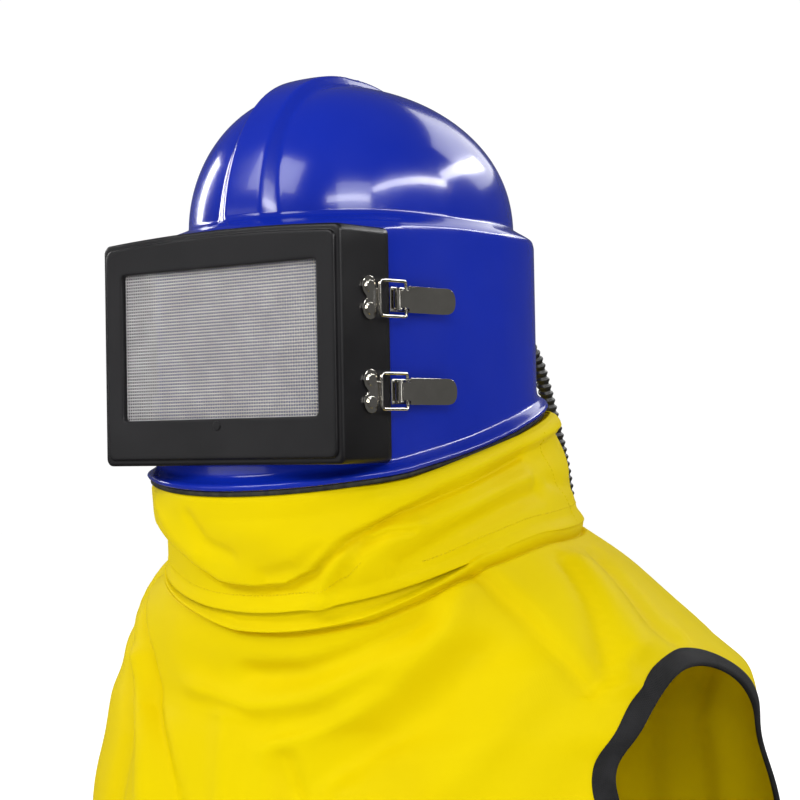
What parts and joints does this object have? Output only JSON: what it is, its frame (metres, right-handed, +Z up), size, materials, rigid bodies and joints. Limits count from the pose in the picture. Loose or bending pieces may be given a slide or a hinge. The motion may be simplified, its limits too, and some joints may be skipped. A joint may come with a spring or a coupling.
{
  "type": "abrasive blasting hood",
  "caption": "Hard helmet shell with a hinged, screened window box, draw latches, a cloth collar and shoulder cape, and an air hose at the back.",
  "frame": {"origin": "crown seat: the point inside the dome, under its crown, that rests over the wearer's crown", "axes": "+Z up, -Y the way the wearer faces, +X to the wearer's left"},
  "size_m": [0.5645, 0.408, 0.7423],
  "materials": {
    "shell": "glossy blue moulding",
    "trim": "dark strip",
    "inlet": "black rubber",
    "frame": "satin black moulding",
    "screen": "fine woven wire",
    "lens": "clear pane",
    "fittings": "bright plated steel",
    "cloth": "coated yellow cloth",
    "tape": "woven black tape",
    "hose": "black ribbed hose"
  },
  "bodies": {
    "helmet": {"shell": "shell", "rim_piping": "trim", "hose_inlet": "inlet", "hinge_shell_leaf_upper": "fittings", "hinge_shell_leaf_lower": "fittings", "latch_base_upper": "fittings", "latch_base_lower": "fittings", "collar": "cloth", "cape": "cloth", "armhole_binding_left": "tape", "armhole_binding_right": "tape", "hose": "hose", "hose_coupling": "fittings"},
    "window": {"window_frame": "frame", "window_mesh": "screen", "window_lens": "lens", "hinge_frame_leaf_upper": "fittings", "hinge_frame_leaf_lower": "fittings", "keeper_upper": "fittings", "keeper_lower": "fittings"},
    "lever_upper": {"latch_lever_upper": "fittings"},
    "lever_lower": {"latch_lever_lower": "fittings"},
    "bail_upper": {"latch_bail_upper": "fittings"},
    "bail_lower": {"latch_bail_lower": "fittings"}
  },
  "joints": [
    {"name": "window_swing", "type": "hinge", "parent": "helmet", "child": "window", "pos_m": [-0.1169, -0.083, -0.199], "axis": [0, 0, -1], "range_deg": [0, 105]},
    {"name": "lever_upper_turn", "type": "hinge", "parent": "helmet", "child": "lever_upper", "pos_m": [0.11508, -0.07753, -0.1675], "axis": [0, 0, -1], "range_deg": [0, 120]},
    {"name": "lever_lower_turn", "type": "hinge", "parent": "helmet", "child": "lever_lower", "pos_m": [0.11508, -0.07753, -0.2305], "axis": [0, 0, -1], "range_deg": [0, 120]},
    {"name": "bail_upper_turn", "type": "hinge", "parent": "lever_upper", "child": "bail_upper", "pos_m": [0.11859, -0.07287, -0.1675], "axis": [0, 0, -1], "range_deg": [-150, 0]},
    {"name": "bail_lower_turn", "type": "hinge", "parent": "lever_lower", "child": "bail_lower", "pos_m": [0.11859, -0.07287, -0.2305], "axis": [0, 0, -1], "range_deg": [-150, 0]}
  ],
  "couplings": [
    {"joint": "bail_upper_turn", "follows": "lever_upper_turn", "ratio": -1.25},
    {"joint": "bail_lower_turn", "follows": "lever_lower_turn", "ratio": -1.25}
  ]
}
